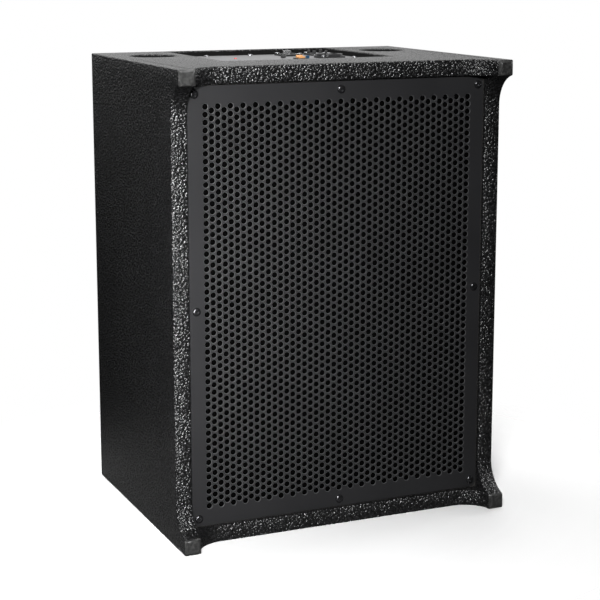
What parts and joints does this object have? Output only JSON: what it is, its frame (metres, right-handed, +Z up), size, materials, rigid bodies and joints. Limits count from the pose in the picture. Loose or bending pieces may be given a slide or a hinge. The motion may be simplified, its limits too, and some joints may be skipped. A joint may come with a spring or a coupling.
{
  "type": "stage monitor loudspeaker",
  "caption": "Box-shaped active stage monitor with a perforated front grille set between corner tips, round bass ports and a recessed connector plate on top.",
  "frame": {"origin": "centre of the base, on the surface that the cabinet stands on", "axes": "+Z up, the grille faces -Y, +X to the right seen from the front"},
  "size_m": [0.382, 0.3, 0.505],
  "materials": {
    "cabinet_paint": "black structured paint over plywood",
    "baffle_paint": "matt black paint over plywood",
    "plywood": "raw birch plywood",
    "wadding": "polyester wadding",
    "grille_coat": "satin black powder coat",
    "foam": "open-cell black foam",
    "black_steel": "blackened steel",
    "cast_frame": "black coated die casting",
    "gasket": "matt",
    "terminal_block": "moulded",
    "cone_paper": "coated paper",
    "surround_cloth": "doped cloth",
    "spider_cloth": "phenolic cloth",
    "former": "glass-fibre former",
    "copper_wire": "enamelled copper",
    "motor_steel": "zinc plated",
    "ferrite": "sintered ferrite",
    "horn_plastic": "moulded, matt black",
    "cast_alloy": "satin",
    "magnet_nickel": "nickel plated",
    "diaphragm_metal": "thin foil",
    "plate_coat": "smooth satin grey",
    "bright_screw": "zinc plated",
    "circuit_board": "solder mask",
    "transformer_tape": "yellow tape",
    "capacitor_sleeve": "sleeve",
    "red_lead": "insulated wire",
    "black_lead": "insulated wire",
    "connector_metal": "black die casting",
    "latch_metal": "bright nickel",
    "gold_contact": "gold plated",
    "contact_metal": "tin plated",
    "amber": "translucent amber",
    "knob_plastic": "moulded, ribbed",
    "blue": "moulded blue",
    "red_lens": "clear red lens"
  },
  "bodies": {
    "cabinet": {"left_side": "cabinet_paint", "right_side": "cabinet_paint", "top_panel": "cabinet_paint", "bottom_panel": "cabinet_paint", "back_panel": "cabinet_paint", "baffle": "baffle_paint", "batten_frame": "baffle_paint", "window_brace": "plywood", "lining": "wadding", "grille": "grille_coat", "grille_foam": "foam", "grille_screws": "black_steel", "driver_basket": "cast_frame", "driver_gasket": "gasket", "driver_screws": "black_steel", "driver_terminals": "terminal_block", "surround": "surround_cloth", "spider": "spider_cloth", "front_plate": "motor_steel", "ring_magnet": "ferrite", "yoke": "motor_steel", "horn": "horn_plastic", "hf_housing": "cast_alloy", "hf_magnet": "magnet_nickel", "hf_cover": "horn_plastic", "horn_terminals": "terminal_block", "port_tube_left": "horn_plastic", "port_tube_right": "horn_plastic", "recess_seal": "gasket", "connector_plate": "plate_coat", "plate_screws": "bright_screw", "amplifier_chassis": "cast_alloy", "amplifier_board": "circuit_board", "supply_board": "circuit_board", "board_standoffs": "bright_screw", "transformer": "transformer_tape", "capacitors": "capacitor_sleeve", "heat_sink": "cast_alloy", "woofer_lead": "red_lead", "horn_lead": "black_lead", "xlr_input": "connector_metal", "xlr_insert": "horn_plastic", "xlr_link": "connector_metal", "link_pins": "gold_contact", "power_inlet": "horn_plastic", "inlet_contacts": "contact_metal", "connector_screws": "bright_screw", "switch_bezel": "horn_plastic", "level_control": "horn_plastic", "preset_switch": "horn_plastic", "status_light": "red_lens"},
    "cone_assembly": {"cone": "cone_paper", "coil_former": "former", "coil_winding": "copper_wire"},
    "horn_diaphragm": {"hf_diaphragm": "diaphragm_metal"},
    "level_dial": {"level_knob": "knob_plastic"},
    "power_rocker": {"switch_rocker": "amber"},
    "plug_latch": {"xlr_latch": "latch_metal"},
    "preset_push": {"preset_button": "blue"}
  },
  "joints": [
    {"name": "cone_travel", "type": "slide", "parent": "cabinet", "child": "cone_assembly", "axis": [0, -1, 0], "range_m": [-0.006, 0.006], "stiffness_N_per_m": 4000, "deforming": ["surround", "spider"]},
    {"name": "diaphragm_travel", "type": "slide", "parent": "cabinet", "child": "horn_diaphragm", "axis": [0, 1, 0], "range_m": [-0.0004, 0.0004], "stiffness_N_per_m": 100},
    {"name": "level_turn", "type": "hinge", "parent": "cabinet", "child": "level_dial", "pos_m": [0.0165, 0.0745, 0.4989], "axis": [0, 0, 1], "range_deg": [-150, 150]},
    {"name": "rocker_tip", "type": "hinge", "parent": "cabinet", "child": "power_rocker", "pos_m": [0.0282, 0.052, 0.4985], "axis": [1, 0, 0], "range_deg": [-18, 0]},
    {"name": "latch_press", "type": "slide", "parent": "cabinet", "child": "plug_latch", "axis": [0, 0, -1], "range_m": [0, 0.002], "stiffness_N_per_m": 500},
    {"name": "preset_press", "type": "slide", "parent": "cabinet", "child": "preset_push", "axis": [0, 0, -1], "range_m": [0, 0.0025], "stiffness_N_per_m": 400}
  ]
}
